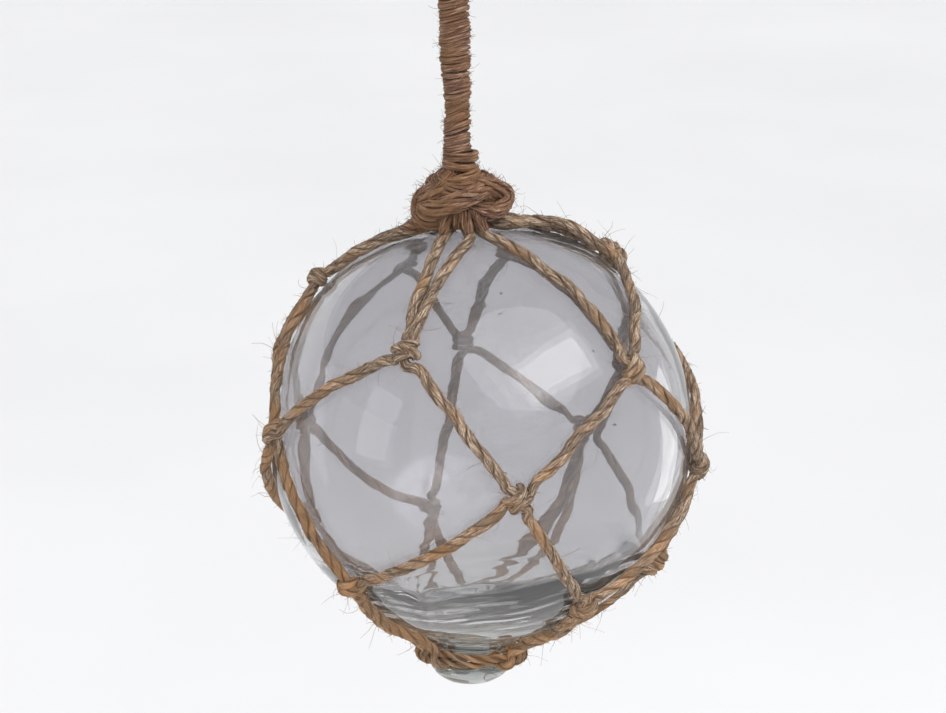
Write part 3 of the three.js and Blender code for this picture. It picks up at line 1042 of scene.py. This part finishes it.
collar = Strands()
collar_lines = []
knot_middle = COLLAR_AXIS * 85.0
for half_wide, half_thick, stops in COLLAR_STRANDS:
    line = about_collar(stops)
    collar_lines.append(line)
    ahead = tangents(line)
    out = squared(line - knot_middle, ahead)
    across = np.cross(ahead, out)
    ends = np.minimum(np.arange(len(line)), np.arange(len(line))[::-1])
    scale = 0.7 + 0.3 * np.clip(ends / 4.0, 0, 1)
    lay_band(collar, line, out, across, half_thick, half_wide, rng, scale)
for radius, stops in COLLAR_TAILS:
    line = about_collar(stops)
    collar_lines.append(line)
    lay_rope(collar, line, radius, 4, 14, rng, sides=6, slack=0.6)
# The gathered middle that the strands are tied round, painted dark all over (wholly groove, low tone)
# as the shade under the strands.
core = about_collar([(0, 0, 78.8), (0, 0, 84), (0, 0, 89), (0, 0, 95.4)])
core_side, core_up = carried_frame(core)
share = np.linspace(0, 1, len(core))
swell = np.interp(share, [0, 0.12, 0.4, 0.7, 0.88, 1], [8.0, 9.8, 11.0, 9.4, 6.0, 3.6])
collar.tube(core, core_side, core_up, swell, swell, 24, 0.2, groove_shade=1.0)
collar.piece("collar_knot_rope", hanger_jute, ["collar_knot"], BALL_CENTRE)

# ------- stray fibres


def stray_fibres(hairs, lines, twine_r, count, longest, dice, on_ball, joints=5, close=0.2):
    """Loose fibres that stand or lie off the twine, each a thin three-sided hair. close is how far
    they keep to the twine's own direction at the least."""
    weights = [len(line) for line in lines]
    for _ in range(count):
        line = dice.choices(lines, weights)[0]
        at = dice.randrange(2, len(line) - 3)
        ahead = unit(line[at + 1] - line[at - 1]) * dice.choice([-1, 1])
        loose = np.array([dice.gauss(0, 1) for _ in range(3)])
        loose = unit(loose - ahead * (loose @ ahead))
        heading = unit(ahead * dice.uniform(close, close + 1.4) + loose)
        place = line[at] + loose * twine_r * 0.82
        length = longest * (0.2 + 0.8 * dice.random() ** 2.2)
        curl = np.array([dice.gauss(0, 1) for _ in range(3)])
        points = []
        for _step in range(joints + 1):
            points.append(place)
            stray = np.array([dice.gauss(0, 0.14) for _ in range(3)])
            heading = unit(heading + curl * 0.16 + stray)
            place = place + heading * length / joints
            if on_ball:
                place = place * max(1.0, (BALL_R + 0.25) / np.linalg.norm(place))
        points = np.array(points)
        side, up = carried_frame(points)
        thick = dice.uniform(0.055, 0.105) * np.linspace(1, 0.5, len(points))
        hairs.tube(points, side, up, thick, thick, 3, dice.random(), groove_shade=0.0)


dice = random.Random(7)
# Each piece of fibres: what they stand off, on the ball or not, and then for the long fibres and
# the short ones how far from the lines' middles they start, how many there are and their length.
for name, material, slot, lines, on_ball, long_ones, short_ones in (
    ("net", net_jute, "net_twine", net_lines, True, (TWINE_R, 1200, 12), (TWINE_R, 6500, 3.6)),
    ("collar", hanger_jute, "hanger_twine", collar_lines, True, (3.2, 260, 9), (3.0, 2000, 4.0)),
    ("hanger", hanger_jute, "hanger_twine", [serving_path], False,
        (SERVING_THICK, 220, 7), (SERVING_THICK, 2600, 3.0)),
    ("eye", eye_jute, "eye_rope", [eye_line], False, (EYE_ROPE_R, 60, 6), (EYE_ROPE_R, 350, 3.0)),
):
    hairs = Strands()
    stray_fibres(hairs, lines, *long_ones, dice, on_ball)
    stray_fibres(hairs, lines, *short_ones, dice, on_ball, joints=3, close=0.8)
    offset = BALL_CENTRE if on_ball else (0, 0, 0)
    hairs.piece(name + "_stray_fibres", material, offset=offset)

# ------- the glass

WALL = 3.6  # mm
BASE_THICK = 9.0  # extra glass behind the seal
BASE_ANGLE = 58.0  # how far from the seal's axis the thick glass reaches, in degrees
BASE_FADE = 42.0  # degrees over which it thins out
# Shoulder, neck and bulb of the seal, as radius and height along its axis.
SEAL_PROFILE = [
    (28.1, 69.5), (22, 73.2), (17.6, 75.8), (14, 78.3), (12.2, 80.8), (12.6, 83.4),
    (13.8, 86.0), (13.0, 88.6), (10.2, 91.2), (7.6, 92.6), (3.5, 92.9), (0, 92.9),
]
GLASS_STEPS = 200  # round the seal's axis
# The thick glass leans to the right of the seal.
GATHER_AXIS = Vector(unit(SEAL_AXIS + np.array([0.12, -0.02, 0.0])))
# A thicker patch on the back wall: its middle, its reach and soft edge in degrees, and mm more.
PATCH_WAY = Vector(unit(np.array([0.10, 0.66, -0.80])))
PATCH_REACH = 19.0
PATCH_EDGE = 5.0
PATCH_THICK = 1.5
# A crumpled place low on the left, in the same terms.
CRUSH_WAY = Vector(unit(np.array([-0.31, -0.73, -0.62])))
CRUSH_REACH = 17.0
CRUSH_EDGE = 9.0
CRUSH_DEEP = 0.75
SEAL_ANGLE = 12.0  # degrees from the axis, the bulb of the seal
BUBBLES = 34
seal_east = frame_about(SEAL_AXIS)[0]
TO_SEAL = Matrix(np.stack([seal_east, np.cross(SEAL_AXIS, seal_east), SEAL_AXIS], 1).tolist())


def glass_skin(name, outline):
    """A closed skin round the seal's axis, from points in mm that start and end on that axis."""
    return skin(name, [(max(r, 0) * MM, h * MM) for r, h in outline], GLASS_STEPS)


def turn_inside_out(obj):
    active_only(obj)
    bpy.ops.object.mode_set(mode="EDIT")
    bpy.ops.mesh.select_all(action="SELECT")
    bpy.ops.mesh.flip_normals()
    bpy.ops.object.mode_set(mode="OBJECT")


def seen_from_centre(vertex):
    """A vertex of a glass skin in mm, its angle from the seal's axis and its distance out."""
    x, y, z = (c / MM for c in vertex.co)
    angle = degrees(atan2(hypot(x, y), z))
    return x, y, z, angle, sqrt(x * x + y * y + z * z)


def smoothstep(x):
    x = min(max(x, 0.0), 1.0)
    return x * x * (3 - 2 * x)


def inner_radius(angle):
    """Distance from the ball's centre to the cavity's wall, at an angle from the seal's axis."""
    return BALL_R - WALL - BASE_THICK * smoothstep((BASE_ANGLE - angle) / BASE_FADE)


def gathered(x, y, angle):
    """The cords and folds of glass that were gathered round the seal, as about -1 to 1."""
    spin = atan2(y, x) + angle * 0.035
    streak = noise.noise((1.5 * cos(spin), 1.5 * sin(spin), angle * 0.17))
    fine = noise.noise((2.6 * cos(spin) + 9, 2.6 * sin(spin), angle * 0.42))
    return 1.3 * streak + 0.8 * fine


outer = glass_skin(
    "blown_glass_ball",
    [(BALL_R * sin(a), BALL_R * cos(a)) for a in np.radians(np.arange(180, 23, -1.6))]
    + [tuple(p) for p in smooth_line(SEAL_PROFILE, 0.8)[2:]],
)
for v in outer.data.vertices:
    x, y, z, angle, reach = seen_from_centre(v)
    away = smoothstep((angle - 14) / 22)
    wave = 0.28 * noise.noise((x / 34, y / 34, z / 34)) * away
    near = smoothstep((60 - angle) / 28) * smoothstep((angle - SEAL_ANGLE) / 8)
    wave += 0.30 * near * gathered(x, y, angle)
    # The seal was pinched while soft, so it is not quite round.
    pinch = 1 - smoothstep((angle - SEAL_ANGLE) / 6)
    flat = 0.05 * cos(2 * atan2(y, x) + 0.7)
    squash = 1 + pinch * (flat + 0.03 * noise.noise((x / 8, y / 8, z / 8)))
    scale = 1 + wave / reach
    v.co = (x * scale * squash * MM, y * scale * squash * MM, z * scale * MM)

inner = glass_skin(
    "cavity",
    [
        (inner_radius(a) * sin(radians(a)), inner_radius(a) * cos(radians(a)))
        for a in np.r_[np.arange(180, 48, -1.8), np.arange(48, 0, -0.7), 0]
    ],
)
for v in inner.data.vertices:
    x, y, z, angle, reach = seen_from_centre(v)
    way = (TO_SEAL @ v.co).normalized()
    wave = 0.45 * noise.noise((x / 30 + 5, y / 30, z / 30))
    # The gather is lopsided, so its edge is no even line.
    leaning = degrees(way.angle(GATHER_AXIS)) + 5 * noise.noise(way * 2.4)
    wave += inner_radius(leaning) - inner_radius(angle)
    near = smoothstep((63 - leaning) / 24)
    centre_fade = smoothstep(angle / 3)
    wave += 1.15 * near * centre_fade * gathered(x + 40, y, leaning)
    spin = atan2(y, x)
    lobes = noise.noise((1.1 * cos(spin) + 3, 1.1 * sin(spin), angle / 26))
    gentle = smoothstep((BASE_ANGLE + 6 - leaning) / 40) * smoothstep((angle - 10) / 18)
    wave += 1.2 * gentle * lobes
    from_patch = degrees(way.angle(PATCH_WAY)) + 4 * noise.noise(way * 4 + Vector((7, 0, 0)))
    wave -= PATCH_THICK * smoothstep((PATCH_REACH - from_patch) / PATCH_EDGE)
    crushed = smoothstep((CRUSH_REACH - degrees(way.angle(CRUSH_WAY))) / CRUSH_EDGE)
    wave += CRUSH_DEEP * crushed * noise.noise(way * 13)
    scale = 1 + wave / reach
    v.co = (x * scale * MM, y * scale * MM, z * scale * MM)
turn_inside_out(inner)

# Seeds: small bubbles left in the wall and drawn out along it.
seed_dice = random.Random(77)
bubbles = []
for _ in range(BUBBLES):
    angle = seed_dice.uniform(6, 165) if seed_dice.random() < 0.6 else seed_dice.uniform(10, 40)
    azimuth = seed_dice.uniform(0, 360)
    deep = BALL_R - seed_dice.uniform(1.1, WALL - 1.1)
    way = direction(azimuth, angle)
    size = seed_dice.uniform(0.18, 0.5)
    bpy.ops.mesh.primitive_uv_sphere_add(segments=10, ring_count=7, radius=size * MM)
    bubble = bpy.context.object
    stretch = Matrix.Diagonal((seed_dice.uniform(1.2, 2.6), 1, 0.9, 1))
    turn = Vector(way).to_track_quat("Z", "Y").to_matrix().to_4x4()
    place = Matrix.Translation(Vector(way) * deep * MM)
    bubble.data.transform(place @ turn @ stretch)
    turn_inside_out(bubble)
    bubbles.append(bubble)

active_only(outer)
for part in [inner, *bubbles]:
    part.select_set(True)
bpy.ops.object.join()
outer.data.transform(Matrix.Translation(centre) @ TO_SEAL.to_4x4())
outer.data.materials.clear()
outer.data.materials.append(blown_glass())
outer.data.polygons.foreach_set("use_smooth", [True] * len(outer.data.polygons))
outer.visible_shadow = False  # clear glass lets the light through to the twine behind it
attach(outer, "root")
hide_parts("glass_ball")
